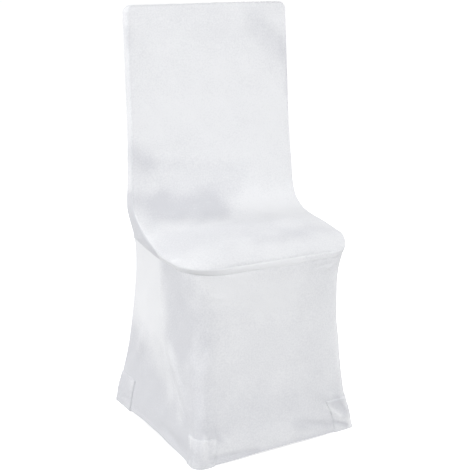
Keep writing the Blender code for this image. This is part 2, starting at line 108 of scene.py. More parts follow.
# Flat width and length of each cloth, and its area where it isn't their product. A foot pocket's cloth goes
# round the corner, and down the wall with the sole.
FLAT_SIZES = {"front_panel": ((0.46, 0.86), 0.340), "side_band": ((2.20, 0.040), 0.074),
              "rear_panel": ((0.45, 1.02), 0.425), "skirt": ((1.20, 0.44), 0.494),
              "pocket_front_left": ((0.088, 0.105), None), "pocket_front_right": ((0.092, 0.126), None),
              "pocket_rear_left": ((0.147, 0.126), None), "pocket_rear_right": ((0.145, 0.124), None)}
# The foot pockets: the drop of the top edge, and the columns of the two runs where the wall ends
Pocket = namedtuple("Pocket", "name top side other")
POCKETS = [Pocket("pocket_front_left", 0.855, 0.94, 0.064), Pocket("pocket_front_right", 0.815, 0.94, 0.89),
           Pocket("pocket_rear_left", 0.815, 0.20, 0.86), Pocket("pocket_rear_right", 0.815, 0.20, 0.14)]

# Fineness of the cloth's grids
STEP = 0.0038  # usual distance between two points
EDGE_SHARE = 0.42  # how much of an even spacing stays in a grid that gets finer towards its edges
TOP_STEPS = 9  # round a top corner of the back
RIM_STEPS = 34  # round a front corner of the seat panel
CORNER_STEPS = 22  # round a soft front corner of the skirt
BAND_STEPS = 20  # across the side band
SIDE_COUNT = 84  # points along one side of the skirt
FRONT_COUNT = 96  # along its front
REAR_COUNT = 112  # across the rear panel
DROP_COUNT = 122  # from the seat seam to the hem
ACROSS_COUNT = 124  # across the front panel
FINE_PLACES = 4000  # places on the back's line from which the evenly spaced ones are found
SHARP_EDGE = math.radians(60)  # faces that meet at more than this, as at a rim, aren't smoothed together

# Creases and folds, in millimetres: a ridge (height above 0) or trough (below 0) on a bent line through
# three points
Crease = namedtuple("Crease", "start middle end width height")
SKIRT_CREASES = metres(Crease, [
    # left side
    ((-204, -30, 300), (-204, -85, 190), (-215, -190, 95), 18, 3.6),
    ((-200, 60, 290), (-203, 95, 190), (-212, 165, 100), 22, 4.2),
    ((-198, -12, 245), (-200, -77, 156), (-210, -173, 68), 6.5, 1.6),
    ((-199, 102, 225), (-200, 97, 170), (-206, 84, 90), 9, 2.4),
    ((-204, -40, 425), (-202, -30, 350), (-198, -26, 255), 12, 3),
    ((-208, -60, 30), (-213, -120, 22), (-219, -192, 14), 18, -3.4),
    # front, left half
    ((-150, -207, 330), (-172, -209, 210), (-190, -211, 90), 20, 2.4),
    ((-186, -214, 155), (-184, -222, 120), (-182, -226, 83), 10, 1.6),
    ((-182, -200, 402), (-160, -211, 399), (-140, -216, 401), 4.5, -0.9),
    ((-176, -200, 391), (-158, -211, 388), (-132, -215, 386), 5, 1),
    ((-174, -198, 378), (-156, -209, 375), (-138, -213, 377), 4.5, -0.7),
    ((-193, -230, 74), (-195, -234, 50), (-198, -238, 24), 5, 1.8),
    ((-169, -228, 92), (-163, -231, 70), (-157, -234, 50), 5, -1.8),
    ((-154, -231, 70), (-142, -233, 50), (-128, -235, 33), 10, 2.6),
    ((-176, -237, 22), (-130, -237, 16), (-50, -235, 10), 8, -1.4),
    # front, right half
    ((100, -210, 130), (150, -213, 90), (196, -216, 50), 18, 2.2),
    ((166, -215, 88), (181, -218, 66), (196, -220, 45), 9, -4.2),
    ((136, -216, 72), (160, -218, 53), (184, -220, 36), 6.5, 2.8),
    ((156, -221, 29), (178, -221, 20), (201, -220, 10), 4.2, -2.8),
    ((60, -223, 50), (110, -222, 34), (150, -222, 22), 9, -1.8),
    ((100, -221, 424), (128, -221, 427), (150, -217, 433), 4, -1.6),
    ((118, -220, 410), (142, -219, 419), (160, -213, 429), 4.5, 1.4),
    ((150, -216, 400), (160, -214, 415), (168, -212, 432), 4, -1.4),
    # right side, where the photo shows nothing: pulled towards its two feet as on the left
    ((204, -30, 300), (203, -95, 200), (215, -190, 95), 20, 3.6),
    ((200, 60, 290), (203, 100, 200), (212, 165, 100), 22, 3.6),
    ((199, 10, 230), (202, -60, 150), (212, -165, 75), 8, 1.4),
    ((198, 40, 180), (205, 80, 120), (212, 130, 88), 9, 1.6),
])
REAR_CREASES = metres(Crease, [
    ((-60, 108, 430), (-110, 135, 300), (-185, 190, 100), 24, 3.4),
    ((70, 108, 420), (120, 140, 290), (190, 190, 105), 22, 3),
    ((-150, 130, 350), (-170, 155, 240), (-195, 190, 110), 10, 1.6),
    ((120, 160, 200), (155, 180, 140), (190, 195, 95), 8, 1.5),
    ((-140, 110, 520), (0, 108, 508), (150, 110, 522), 18, -1.2),
    ((-110, 112, 478), (10, 110, 486), (120, 112, 474), 12, 1.4),
])
PANEL_CREASES = metres(Crease, [
    ((-190, 50, 520), (-110, 48, 518), (-30, 34, 513), 36, -4.4),
    ((20, -100, 488), (110, -120, 488), (200, -100, 488), 40, -4.8),
    ((-170, -110, 486), (-60, -65, 494), (40, -30, 500), 50, 1.6),
    ((-200, 76, 600), (-120, 76, 585), (-20, 70, 565), 22, -2),
    ((-205, 86, 680), (-150, 84, 668), (-90, 83, 676), 18, -1.6),
    ((110, 102, 965), (160, 100, 930), (200, 98, 880), 20, -2.2),
    ((-212, -60, 468), (-205, -130, 468), (-185, -180, 464), 7, 1.2),
    ((-190, -190, 462), (-120, -216, 462), (0, -220, 460), 6, 0.8),
])
CREASE_POINTS = 9  # points on a crease's bent line
CREASE_END = 0.04  # share of the line at each end over which the height stays even
CREASE_TAPER = 0.6  # how late a crease falls off towards its ends
CREASE_START = 0.75  # share of the width that a crease has at its start
CREASE_WIDENING = 0.4  # and what it gains on its way
CREASE_LIP = 0.45  # how much the cloth beside a crease gives way to the other side

# Slow, uneven waves over every panel, which the eye reads as soft clouds in the cloth
Wave = namedtuple("Wave", "scale height seed")
CLOTH_WAVES = [Wave(0.110, 0.00070, 11), Wave(0.048, 0.00028, 12), Wave(0.019, 0.00008, 13)]
WAVE_COUNT = 7  # plain waves that make up an uneven one
WAVE_SPREAD = (0.7, 1.4)  # shortest and longest of them, as shares of its scale

# Seams. The panels turn into the side band on a soft round edge with a shallow groove along its middle.
# The shade is how much darker the cloth looks beside a seam.
Seam = namedtuple("Seam", "groove shade")
RIM_SEAM = Seam(0.00022, 0.22)
SEAT_SEAM = Seam(0.00042, 0.26)
REAR_EDGE = Seam(0.00022, 0)  # the skirt's side of its seam with the rear panel
ROUND_EDGE = 0.0050  # radius of the soft edge, and of the one between the sides and the rear panel
GROOVE_REACH = 0.0022  # how far from the edge the cloth turns into the groove
NEAR_RIM = 0.016  # how far from a rim its direction matters
BAND_BULGE = 0.0009  # how far the side band swells out round the seat
BULGE_TOP = 0.50  # height from which it lies flat
BULGE_FADE = 0.03  # height over which it comes to that
SHADE_REACH = 0.0026  # width of the shade beside a seam
SHADE_DOTS = (0.2, 1.6)  # weakest and strongest of its dots, where the thread pulls the cloth in
FRONT_POCKET_SHADE = 0.15
REAR_POCKET_SHADE = 0.70
HEM_SHADE = 0.30
HEM_SHADE_REACH = 0.012
OPEN_SEAM = 0.00008  # how far two pieces stay apart in a seam that thread pulls together
PUCKER = Wave(0.0095, 0.55, 21)  # share of the groove's depth that comes and goes along the seam
PUCKER_REACH = 0.0080
PUCKER_HEIGHT = 0.00022
CALM_EDGE = 0.014  # creases and waves die out over this distance from a seam
HEM_BAND = 0.012  # height of the turned-up hem
HEM_THICK = 0.0005  # how far it stands out over its single cloth
HEM_STEP = 0.002  # height over which it ends
REAR_LINE = 0.104  # behind this the side band ends on the rear panel, ahead of it on the skirt
REAR_JOIN = 0.004  # the rear panel's upper rows end this much over the lower ones
JOIN_SLACK = 0.001  # and the side band's rows behind the seat seam this much over its rear end
BACKWARDS = np.array([0.0, 1.0, 0.0])
POCKET_BED = 0.0004  # how deep the cloth under a foot pocket is pressed in
BED_EDGE = 0.0018  # width of the slope round that bed
POCKET_EDGE = 0.003  # width of a pocket's thin sewn edge
THIN_EDGE = 0.14  # share of the cloth's thickness at that edge
POCKET_WAVES = Wave(0.024, 0.0007, 31)
SOLE_SHARE = 0.985  # how far a sole reaches from its edge to its heel
SOLE_STEPS = 8

# Stitches: short raised threads in rows
Stitch = namedtuple("Stitch", "pitch length radius")
SEAM_STITCH = Stitch(0.0034, 0.0022, 0.00030)
HEM_STITCH = Stitch(0.0036, 0.0026, 0.00032)
HEM_ROWS = (0.0100, 0.0060)  # heights of the two rows over the hem's edge
POCKET_ROW = 0.0022  # distance of a pocket's row from its edge
STITCH_TURNS = 5  # points round a stitch

# Tone of the cloth, which carries painted light and shade
PLAIN_TONE = 0.75  # share of the white in the plain cloth
TONE_LIMIT = 1.1  # how early the tone bends towards its ends
PATCH_EDGE = Wave(0.060, 0.14, 41)  # how uneven the patches' edges are
# Patches on short lines, in millimetres, of painted shade (tone below 0) and painted light and highlights
# (above 0), by the piece that they keep to. Shape is 2 for a soft edge and 4 for a firm one.
Patch = namedtuple("Patch", "start end reach tone shape", defaults=(2,))
# painted shade and painted light, laid into the cloth's colour where the lamps' shading should fall
PAINTED_LIGHT_AND_SHADE = {"cover_front_panel": [
    # the back
    ((120, 101, 960), (190, 99, 885), 30, -0.32),
    ((196, 98, 915), (206, 90, 780), 9, -0.20),
    ((212, 100, 930), (214.5, 90, 740), 4.5, -0.90),
    ((-100, 88, 780), (150, 86, 700), 120, 0.26),
    ((-170, 81, 640), (70, 77, 607), 22, -0.18),
    ((-135, 68, 546), (-25, 60, 536), 34, -0.40),
    ((-170, 54, 524), (-10, 38, 511), 30, -0.44),
    ((-35, 66, 545), (45, 70, 556), 32, -0.22),
    # the seat
    ((5, -155, 489), (90, -160, 491), 28, -0.26),
    ((90, -155, 491), (170, -143, 493), 28, -0.30),
    ((80, 45, 515), (190, 20, 505), 36, 0.50),
    ((-190, -70, 487), (0, -80, 495), 80, -0.36),
], "every piece": [
    # the back
    ((-214, 105, 945), (-212, 104, 915), 12, -0.30),
    ((-220, 95, 668), (-182, 82, 645), 28, -0.48),
    ((-222, 74, 556), (-160, 71, 548), 24, -0.40),
    # the side band
    ((-214, -125, 457), (-170, -203, 457), 5, 0.60),
    # the side
    ((-200, 190, 40), (-213, -130, 20), 50, -0.60),
    ((-208, -60, 50), (-216, -175, 24), 36, -0.36),
    # the front
    ((-120, -220, 110), (150, -220, 70), 70, -0.28),
    # the front feet
    ((-217, -145, 44), (-222, -198, 26), 26, -0.90),
    ((-200, -234, 60), (-202, -239, 10), 28, -0.28),
    ((-193, -230, 72), (-198, -238, 26), 6, 0.50),
    ((-216, -196, 70), (-222, -208, 10), 5, 0.40),
    ((-168, -228, 90), (-158, -233, 56), 7, -0.20),
    ((-176, -237, 18), (-60, -235, 10), 8, -0.50),
    ((170, -216, 80), (195, -220, 46), 12, -0.50),
    ((142, -217, 68), (180, -220, 38), 8, 0.30),
    ((160, -221, 27), (198, -220, 11), 5, -0.90),
    ((207, -219, 24), (215, -216, 12), 6, 0.50),
    ((50, -223, 48), (150, -222, 24), 13, -0.36),
], "cover_side_band": [
    ((-222, 85, 545), (-216, -26, 458), 30, -0.90, 4),
    ((-216, 108, 505), (-208, 70, 464), 30, -0.80, 4),
    ((-212, -75, 447), (-190, -185, 447), 26, 0.60),
    ((-160, -214, 447), (40, -222, 447), 26, 0.80),
], "cover_skirt": [
    # the side
    ((-202, -94, 430), (-195, -110, 280), 70, -0.54, 4),
    ((-200, 45, 430), (-200, 50, 325), 78, 0.80, 3),
    ((-197, -105, 270), (-206, -170, 100), 50, -0.40),
    ((-200, 166, 140), (-205, 0, 90), 75, -0.84),
    # the front
    ((-165, -204, 430), (-150, -208, 390), 34, 0.34),
    ((-100, -216, 410), (20, -216, 360), 50, 0.40),
    ((-182, -206, 390), (-196, -222, 90), 42, -0.36),
    ((110, -212, 350), (110, -209, 180), 80, -0.06),
], "cover_pocket_rear_left": [
    ((-206, 200, 90), (-213, 190, 10), 50, -0.40),
]}

# Finish
# the white cloth, and the colour of its painted shade, which the tone mixes into it
WHITE_STRETCH_CLOTH = (0.870, 0.876, 0.892, 1)
SHADED_CLOTH = (0.690, 0.696, 0.728, 1)
CLOTH_GLOSS = {"Roughness": 0.78, "Sheen Weight": 0.35, "Sheen Roughness": 0.45, "Specular IOR Level": 0.25}
CLOUDS = {"Scale": 9.0, "Detail": 4.0}
SPECKLE = {"Scale": 270.0, "Detail": 2.0}
CLOUDS_SHARE, SPECKLE_SHARE = 0.5, 1.0
CLOUDS_MIDDLE = 0.75  # what the two add to the tone on average
WAVE_TEXTURE_PITCH = math.pi / 10  # distance between two bands of a wave texture of scale 1
RIB_PITCHES = {"X": 0.0011, "Y": 0.0009}
RIBS = {"Distortion": 1.2, "Detail": 1.0}
RIB_HEIGHT = 0.00010
CRINKLE = {"Scale": 260.0, "Detail": 3.0, "Roughness": 0.65}
CRINKLE_HEIGHT = 0.0010
RELIEF_STRENGTH = 0.8
THREAD_FINISH = {"Base Color": (0.84, 0.845, 0.865, 1), "Roughness": 0.6, "Sheen Weight": 0.2}
TWIST_SCALE = 900.0
TWIST_HEIGHT = 0.00008

# Studio
CAMERA_PLACE = (-1.2175, -2.2082, 1.1379)
CAMERA_PITCH, CAMERA_YAW = math.radians(14.94), math.radians(-28.96)
LENS = 83.39  # millimetres, on Blender's 36 mm sensor
Lamp = namedtuple("Lamp", "name place aim size power")
LAMPS = [
    Lamp("key_above", (-0.5, -1.5, 2.8), (0, 0, 0.7), 1.6, 20.5),
    Lamp("fill_front", (0.4, -3.2, 0.9), (0, 0, 0.6), 1.6, 18.5),
    Lamp("fill_front_left", (-1.5, -2.3, 0.10), (-0.1, -0.1, 0.45), 1.0, 10.0),
    Lamp("fill_left", (-2.6, 1.2, 1.4), (-0.2, 0, 0.4), 1.2, 42.0),
    Lamp("fill_rear", (0.5, 3.2, 0.5), (0, 0, 0.5), 1.6, 20.0),
    Lamp("fill_right", (2.6, 0.1, 1.1), (0.1, 0, 0.5), 1.6, 22.0),
]
WORLD = {"Color": (0.985, 0.99, 1.0, 1), "Strength": 0.58}
STAGE_FINISH = {"Roughness": 0.9, "Specular IOR Level": 0.0, "Emission Color": (1, 1, 1, 1)}
FLOOR_FINISH = {"Base Color": (0.90, 0.90, 0.90, 1), "Emission Strength": 0.52}
DOME_FINISH = {"Base Color": (0, 0, 0, 1), "Emission Strength": 1.05}
STUDIO_REACH = 40.0
DOME_START = -0.1  # angle at which the dome begins, a little below the floor
DOME_SIDES = 48
DOME_RINGS = 16


# Numbers from tables and shapes from formulas

def wave_field(points, wave):
    """Smooth, uneven waves at an array of points, about -1 to 1, the same for every piece."""
    source = np.random.default_rng(wave.seed)
    total = np.zeros(points.shape[:-1])
    for _ in range(WAVE_COUNT):
        direction = source.normal(size=3)
        direction /= np.linalg.norm(direction)
        pitch = wave.scale * source.uniform(*WAVE_SPREAD)
        total += np.sin(points @ direction * (2 * math.pi / pitch) + source.uniform(0, 2 * math.pi))
    return total / math.sqrt(WAVE_COUNT)


def smooth_curve(share, start, end, start_slope, end_slope):
    square, cube = share ** 2, share ** 3
    return ((2 * cube - 3 * square + 1) * start + (cube - 2 * square + share) * start_slope
            + (3 * square - 2 * cube) * end + (cube - square) * end_slope)


def read_table(rows, places, axis):
    """A table's columns at an array of places, each column on a smooth curve."""
    table = np.array(rows, float)
    knots = table[:, rows[0]._fields.index(axis)]
    if knots[0] > knots[-1]:
        table, knots = table[::-1], knots[::-1]
    places = np.clip(places, knots[0], knots[-1])
    end = np.clip(np.searchsorted(knots, places), 1, len(knots) - 1)
    numbers = np.arange(len(knots))
    before, after = np.maximum(numbers - 1, 0), np.minimum(numbers + 1, len(knots) - 1)
    slopes = (table[after] - table[before]) / (knots[after] - knots[before])[:, None]
    step = (knots[end] - knots[end - 1])[..., None]
    share = (places - knots[end - 1])[..., None] / step
    values = smooth_curve(share, table[end - 1], table[end], step * slopes[end - 1], step * slopes[end])
    return type(rows[0])(*np.moveaxis(values, -1, 0))


def nearest(values, wanted):
    """The number of the value that comes nearest to a wanted one."""
    return int(np.argmin(abs(values - wanted)))


def smooth_step(share):
    share = np.clip(share, 0, 1)
    return share * share * (3 - 2 * share)


def finer_at_ends(count, fixed=()):
    """Shares from 0 to 1, closer together towards both ends, that include the fixed ones."""
    even = np.linspace(-1, 1, count)
    shares = (1 + EDGE_SHARE * even + (1 - EDGE_SHARE) * np.sin(even * math.pi / 2)) / 2
    for place in fixed:
        shares[nearest(shares, place)] = place
    return shares


def points_from(x, y, z):
    return np.stack(np.broadcast_arrays(x, y, z), axis=-1)


def unit(vectors):
    return vectors / np.maximum(np.linalg.norm(vectors, axis=-1, keepdims=True), 1e-12)


def ways_out(grid, ring=False):
    """The direction out of the cover at each point of a grid."""
    if ring:
        across = np.roll(grid, -1, axis=1) - np.roll(grid, 1, axis=1)
    else:
        across = np.gradient(grid, axis=1)
    return -unit(np.cross(across, np.gradient(grid, axis=0)))


def line_distance(points, start, end):
    """Distance of points from a straight line's nearest place, and that place's share of the line."""
    run = end - start
    share = np.clip((points - start) @ run / (run @ run), 0, 1)
    return np.linalg.norm(points - start - share[..., None] * run, axis=-1), share


def lengths_down(grid):
    """Distance of each point from the grid's first row, measured along its column."""
    steps = np.linalg.norm(np.diff(grid, axis=0), axis=-1)
    return np.vstack([np.zeros(grid.shape[1]), np.cumsum(steps, axis=0)])


def lengths_across(grid):
    return lengths_down(grid.swapaxes(0, 1)).T


def lengths_along(line):
    return lengths_down(line[:, None])[:, 0]


def over_hem(grid):
    """Distance of each point from the grid's last row."""
    down = lengths_down(grid)
    return down[-1] - down


def side_distance(grid):
    across = lengths_across(grid)
    return np.minimum(across, across[:, -1:] - across)


def edge_distance(grid, bottom=True):
    """Distance of each point from the nearest edge, with or without the bottom one."""
    above = np.minimum(lengths_down(grid), over_hem(grid)) if bottom else lengths_down(grid)
    return np.minimum(above, side_distance(grid))


# Relief and shade of the cloth

def crease_route(crease):
    """Points on a curve from the crease's start to its end that passes its middle point."""
    start, middle, end = crease[:3]
    share = np.linspace(0, 1, CREASE_POINTS)[:, None]
    handle = 2 * middle - (start + end) / 2
    return (1 - share) ** 2 * start + 2 * share * (1 - share) * handle + share ** 2 * end


def crease_relief(points, creases):
    """How far the creases raise the cloth at each point."""
    relief = np.zeros(points.shape[:-1])
    for crease in creases:
        route = crease_route(crease)
        nearest_line = np.full(points.shape[:-1], np.inf)
        along = np.zeros(points.shape[:-1])
        for number, (start, end) in enumerate(zip(route, route[1:])):
            away, share = line_distance(points, start, end)
            closer = away < nearest_line
            nearest_line = np.where(closer, away, nearest_line)
            along = np.where(closer, (number + share) / (CREASE_POINTS - 1), along)
        taper = np.sin(math.pi * np.clip(along, CREASE_END, 1 - CREASE_END)) ** CREASE_TAPER
        q = nearest_line / (crease.width * (CREASE_START + CREASE_WIDENING * along))
        relief += crease.height * taper * np.exp(-q * q) * (1 - CREASE_LIP * q * q)
    return relief


def cloth_relief(points, from_edge, creases=()):
    """A panel's creases and waves, which die out towards its sewn edges."""
    waves = sum(wave.height * wave_field(points, wave) for wave in CLOTH_WAVES)
    return (crease_relief(points, creases) + waves) * smooth_step(from_edge / CALM_EDGE)


def sewn_edge(points, from_edge, seam):
    """The relief beside a seam, a groove with small puckers, and the shade, in dots along the thread."""
    uneven = wave_field(points, PUCKER)
    near = np.exp(-(from_edge / GROOVE_REACH) ** 2)
    sink = seam.groove * (1 + PUCKER.height * uneven) * near
    puckers = PUCKER_HEIGHT * uneven * np.exp(-(from_edge / PUCKER_REACH) ** 2) * (1 - near)
    dots = np.clip(0.5 + 0.5 * uneven, *SHADE_DOTS)
    return np.array([puckers - sink, -seam.shade * dots * np.exp(-(from_edge / SHADE_REACH) ** 2)])


def turned_hem(grid):
    """The relief of the turned-up hem, which stands out over the single cloth, and its shade."""
    from_hem = over_hem(grid)
    return np.array([HEM_THICK * (1 - smooth_step((from_hem - HEM_BAND) / HEM_STEP)),
                     -HEM_SHADE * np.exp(-(from_hem / HEM_SHADE_REACH) ** 2)])


def painted_shading_of(points, name):
    """The painted light and shade at each point, around 0 for its darkest painted shade and 1 for its
    lightest painted light.
    """
    tone = np.full(points.shape[:-1], PLAIN_TONE)
    uneven = 1 + PATCH_EDGE.height * wave_field(points, PATCH_EDGE)
    for row in PAINTED_LIGHT_AND_SHADE.get(name, []) + PAINTED_LIGHT_AND_SHADE["every piece"]:
        patch = Patch(*row)
        start, end = np.array(patch[:2]) / 1000
        away = line_distance(points, start, end)[0] / (patch.reach / 1000) * uneven
        tone += patch.tone * np.exp(-away ** patch.shape)
    return tone


def softly_limited(tone):
    """The tone between 0 and 1, with no hard stop at either end."""
    return 0.5 + 0.5 * np.tanh((2 * tone - 1) * TONE_LIMIT) / math.tanh(TONE_LIMIT)


def beside_rim(points, rough_distance, rim, outwards):
    """How far points lie inside a rim, and the direction that leads out over it at the nearest place."""
    near = rough_distance < NEAR_RIM
    marked = points[near]
    place = np.argmin((rim ** 2).sum(-1) - 2 * marked @ rim.T, axis=1)
    distance, outward = rough_distance.copy(), np.zeros(points.shape)
    outward[near] = outwards[place]
    distance[near] = np.maximum(((rim[place] - marked) * outwards[place]).sum(-1), 0)
    return distance, outward


def round_edge(points, from_edge, own, other):
    """Points near a square edge moved onto a round one, and the normals there; all normals point out."""
    turn = math.pi / 4 * np.clip(1 - from_edge / ROUND_EDGE, 0, 1)[..., None]
    along = np.where(turn > 0, from_edge[..., None] - ROUND_EDGE * (1 - np.sin(turn)), 0)
    sunk = ROUND_EDGE * (1 - np.cos(turn))
    return points + other * along - own * sunk, unit(own * np.cos(turn) + other * np.sin(turn))


# Plan of the skirt and of the rear panel below the seat

SIDE_SHARES = finer_at_ends(SIDE_COUNT, [pocket.side for pocket in POCKETS])
FRONT_SHARES = finer_at_ends(FRONT_COUNT, [pocket.other for pocket in POCKETS if "front" in pocket.name])
REAR_SHARES = finer_at_ends(REAR_COUNT, [pocket.other for pocket in POCKETS if "rear" in pocket.name])
DROPS = finer_at_ends(DROP_COUNT, [pocket.top for pocket in POCKETS])
QUARTER = np.linspace(0, math.pi / 2, CORNER_STEPS + 1)[1:-1]
ACROSS = 2 * finer_at_ends(ACROSS_COUNT) - 1


def seam_height(share):
    rise = (1 - np.minimum(share / SEAM_RISE_ENDS, 1)) ** SEAM_RISE_SHAPE
    return SEAM_LOW + (SEAM_REAR - SEAM_LOW) * rise


def hem_height(share, rise):
    return HEM_LIFT + rise * np.sin(math.pi * share) ** HEM_SHAPE


def heights_down(seam, hem):
    """Heights of a grid's rows between the seat seam and the hem."""
    return seam + (hem - seam) * DROPS[:, None]


def front_corner(section, side):
    return (section.left, section.left_corner) if side < 0 else (section.right, section.right_corner)


def side_points(share, z, side):
    """The skirt's side run; share goes from the rear corner to the front corner's start."""
    section = read_table(SKIRT, z, "z")
    ahead, corner = front_corner(section, side)
    y = section.rear + (corner - ahead - section.rear) * share
    x = section.rear_half + (section.front_half - section.rear_half) * share
    ramp = np.where(share < RIDGE_PLACE, share / RIDGE_PLACE, (1 - share) / (1 - RIDGE_PLACE))
    bow = np.where(section.side_bow > 0, ramp * ramp * (3 - 2 * ramp), np.sin(math.pi * share))
    return points_from(side * (x + section.side_bow * bow), y, z)


def corner_points(angle, z, side):
    """The soft front corner; the angle goes from 0 at the side to a right angle at the front."""
    section = read_table(SKIRT, z, "z")
    ahead, corner = front_corner(section, side)
    x = section.front_half - corner + corner * np.cos(angle)
    y = ahead - corner + corner * np.sin(angle)
    return points_from(side * x, -y, z)


def front_points(share, z):
    """The skirt's front run; share goes from the left corner to the right one."""
    section = read_table(SKIRT, z, "z")
    start, end = section.left_corner - section.front_half, section.front_half - section.right_corner
    ahead = section.left + (section.right - section.left) * share
    ahead = ahead + section.front_bow * np.sin(math.pi * share)
    return points_from(start + (end - start) * share, -ahead, z)


def skirt_grid():
    """The skirt's outer surface from the rear left corner round the front to the rear right corner."""
    side_z = heights_down(seam_height(SIDE_SHARES), hem_height(SIDE_SHARES, HEM_RISE_SIDE))
    corner_z = heights_down(SEAM_LOW, HEM_LIFT)
    left, right = (np.hstack([side_points(SIDE_SHARES, side_z, side), corner_points(QUARTER, corner_z, side)])
                   for side in (-1, 1))
    front_z = heights_down(SEAM_LOW, hem_height(FRONT_SHARES, HEM_RISE_FRONT))
    return np.hstack([left, front_points(FRONT_SHARES, front_z), right[:, ::-1]])


def rear_grid_below():
    """The rear panel below the seat, from the right corner to the left one."""
    z = heights_down(SEAM_REAR, hem_height(REAR_SHARES, HEM_RISE_REAR))
    section = read_table(SKIRT, z, "z")
    y = section.rear + section.rear_bow * np.sin(math.pi * REAR_SHARES)
    return points_from(section.rear_half * (1 - 2 * REAR_SHARES), y, z)


# The seat and the back

def table_rows(places):
    """Rows of the back's table at places between its rows, counted from 0, on a smooth curve."""
    table = np.array(BACK_TO_SEAT)
    last = len(table) - 1
    number = np.minimum(places.astype(int), last - 1)
    share = (places - number)[:, None]
    before, start, end, after = (table[np.clip(number + shift, 0, last)] for shift in (-1, 0, 1, 2))
    return smooth_curve(share, start, end, (end - before) / 2, (after - start) / 2)


def top_rows():
    """Rows round the two top corners of the back."""
    angle = np.linspace(0, math.pi / 2, TOP_STEPS + 1)
    z = HEIGHT - TOP_CORNER * (1 - np.cos(angle))
    inset = TOP_CORNER * (1 - np.sin(angle))
    row = read_table(BACK_TO_SEAT[:STRAIGHT_ROWS], z, "seam_z")
    row = row._replace(half_width=row.half_width - inset, seam_half=row.seam_half - inset, rim_z=z, mid_z=z)
    return np.stack(row, axis=-1)


def back_rows():
    """Rows of the front panel from the top edge to the start of the seat's front corners, evenly spaced."""
    places = np.linspace(0, len(BACK_TO_SEAT) - 1, FINE_PLACES)
    middle = [Row._fields.index(column) for column in ("mid_y", "mid_z")]
    length = lengths_along(table_rows(places)[:, middle])
    wanted = np.arange(TOP_CORNER + STEP, length[-1], STEP)
    wanted[-1] = length[-1]
    return np.vstack([top_rows(), table_rows(np.interp(wanted, length, places))])


def front_corner_rows():
    """Rows across the seat's rounded front corners."""
    start = BACK_TO_SEAT[-1]
    angle = np.linspace(0, math.pi / 2, RIM_STEPS + 1)[1:]
    y = start.rim_y - RIM_CORNER * np.sin(angle)
    half = start.half_width - RIM_CORNER * (1 - np.cos(angle))
    nothing = np.zeros_like(y)
    row = Row(y, nothing + CREASE, y, read_table(SEAT_CROWN, y, "y").z, half, nothing, nothing, nothing,
              start.right_lift * np.cos(angle) ** LIFT_FADE)
    return angle, np.stack(row, axis=-1)


def front_panel_grid():
    """The front panel's outer surface. Its rows run down the back and forward over the seat."""
    row = Row(*np.vstack([back_rows(), front_corner_rows()[1]]).T[..., None])
    crown = 1 - abs(ACROSS) ** CROWN_SHAPE
    lift = row.right_lift * (1 + ACROSS) / 2
    return points_from(row.half_width * ACROSS, row.rim_y + (row.mid_y - row.rim_y) * crown,
                       row.rim_z + (row.mid_z - row.rim_z) * crown + lift)


def rear_panel_grid():
    """The rear panel's outer surface, from the top of the back to the hem."""
    rows = back_rows()
    row = Row(*rows[rows[:, Row._fields.index("seam_z")] > SEAM_REAR + REAR_JOIN].T[..., None])
    y = np.maximum(row.seam_y, read_table(SKIRT, SEAM_REAR, "z").rear)
    return np.vstack([points_from(row.seam_half * (1 - 2 * REAR_SHARES), y, row.seam_z), rear_grid_below()])


def side_seam_points(rows, side):
    """Where the side band ends: on the rear corner line, and ahead of it on the seat seam."""
    row = Row(*rows.T)
    rear = read_table(SKIRT, SEAM_REAR, "z").rear
    low = read_table(SKIRT, SEAM_LOW, "z")
    ahead, corner = front_corner(low, side)
    share = np.clip((low.rear - row.seam_y) / (low.rear + ahead - corner), 0, 1)
    on_seat = side_points(share, seam_height(share), side)
    behind = row.seam_z > SEAM_REAR + JOIN_SLACK
    z = np.where(row.seam_z < SEAM_REAR + 2 * JOIN_SLACK, SEAM_REAR, row.seam_z)
    on_rear = points_from(side * row.seam_half, np.maximum(row.seam_y, rear), z)
    return np.where(behind[:, None], on_rear, on_seat)


def round_the_rim(grid):
    """The edge of the front panel's grid as one loop: left side down, front, right side up, top."""
    return np.concatenate([grid[:-1, 0], grid[-1], grid[-2::-1, -1], grid[0, -2:0:-1]])


def band_far_edge():
    """The other edge of the side band, station by station as round_the_rim goes."""
    rows, angle, low = back_rows(), front_corner_rows()[0], np.array(SEAM_LOW)
    left, right = (np.concatenate([side_seam_points(rows, side), corner_points(angle[:-1], low, side)])
                   for side in (-1, 1))
    first = Row(*rows[0])
    top = points_from(first.half_width * ACROSS[-2:0:-1], first.seam_y, HEIGHT)
    return np.concatenate([left, front_points((ACROSS + 1) / 2, low), right[::-1], top])


def side_band_grid(front):
    """The side band's outer surface, from the front panel's rim to its far edge."""
    rim = round_the_rim(front)
    return rim + (band_far_edge() - rim) * finer_at_ends(BAND_STEPS + 1)[:, None, None]


# Meshes

TURNED = [0, 3, 2, 1]  # a face's corners the other way round


def grid_numbers(rows, columns, ring):
    """Numbers of a grid's points; a ring's first column comes again after its last one."""
    numbers = np.arange(rows * columns).reshape(rows, columns)
    return np.hstack([numbers, numbers[:, :1]]) if ring else numbers


def grid_faces(numbers):
    corners = numbers[:-1, :-1], numbers[1:, :-1], numbers[1:, 1:], numbers[:-1, 1:]
    return np.stack(corners, axis=-1).reshape(-1, 4)


def sheet_faces(rows, columns, ring):
    """Quads of a closed sheet between an outer and an inner grid, outer points first."""
    outer = grid_numbers(rows, columns, ring)
    rims = [outer[0], outer[-1, ::-1]]
    if not ring:
        rims += [outer[::-1, 0], outer[:, -1]]
    inner = rows * columns
    edges = [grid_faces(np.stack([rim, rim + inner]))[:, TURNED] for rim in rims]
    return np.vstack([grid_faces(outer), grid_faces(outer + inner)[:, TURNED], *edges])


def new_mesh(name, points, faces, material):
    mesh = bpy.data.meshes.new(name)
    mesh.from_pydata(points.tolist(), [], faces)
    mesh.materials.append(material)
    return mesh


def add_object(name, data):
    thing = bpy.data.objects.new(name, data)
    bpy.context.scene.collection.objects.link(thing)
    return thing


